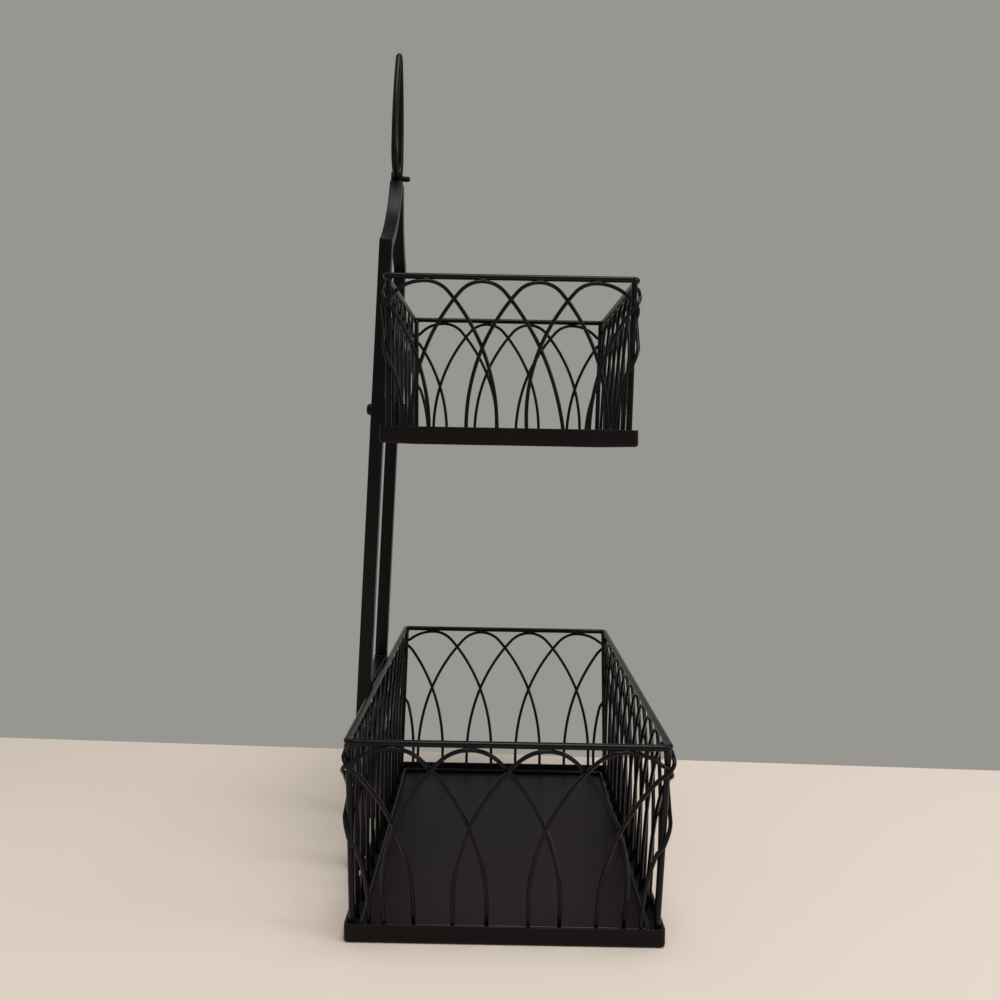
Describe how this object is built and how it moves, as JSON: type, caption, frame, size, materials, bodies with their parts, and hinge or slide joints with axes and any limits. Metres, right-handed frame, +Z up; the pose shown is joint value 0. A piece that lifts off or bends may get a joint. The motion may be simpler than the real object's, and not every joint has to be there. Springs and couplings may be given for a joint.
{
  "type": "two-tier wire basket stand",
  "caption": "Two-tier stand: an upper and a flared lower basket of interlaced pointed-arch wires on a two-legged back frame of square bar with a leaf-shaped handle loop.",
  "frame": {"origin": "on the table under the middle of the stand's footprint, the bottom centre of its bounding box", "axes": "+X to the right along the baskets as seen from the front, +Y from the front to the back where the frame stands, +Z up"},
  "size_m": [0.4, 0.2296, 0.658],
  "materials": {
    "frame": "satin black paint",
    "wire": "satin black paint",
    "sheet": "satin black paint",
    "screws": "satin black"
  },
  "bodies": {
    "root": {"basket_screws": "screws", "collar_peg": "frame", "cross_bar": "frame", "handle_loop": "frame", "left_shoulder": "frame", "left_upright": "frame", "loop_collar": "frame", "lower_arches_back": "wire", "lower_arches_front": "wire", "lower_arches_left_end": "wire", "lower_arches_right_end": "wire", "lower_band": "sheet", "lower_base_ring": "wire", "lower_floor": "sheet", "lower_lug_left": "frame", "lower_lug_right": "frame", "lower_post_back_left": "wire", "lower_post_back_right": "wire", "lower_post_front_left": "wire", "lower_post_front_right": "wire", "lower_rim": "wire", "right_shoulder": "frame", "right_upright": "frame", "upper_arches_back": "wire", "upper_arches_front": "wire", "upper_arches_left_end": "wire", "upper_arches_right_end": "wire", "upper_band": "sheet", "upper_base_ring": "wire", "upper_floor": "sheet", "upper_lug_left": "frame", "upper_lug_right": "frame", "upper_post_back_left": "wire", "upper_post_back_right": "wire", "upper_post_front_left": "wire", "upper_post_front_right": "wire", "upper_rim": "wire"}
  },
  "joints": []
}
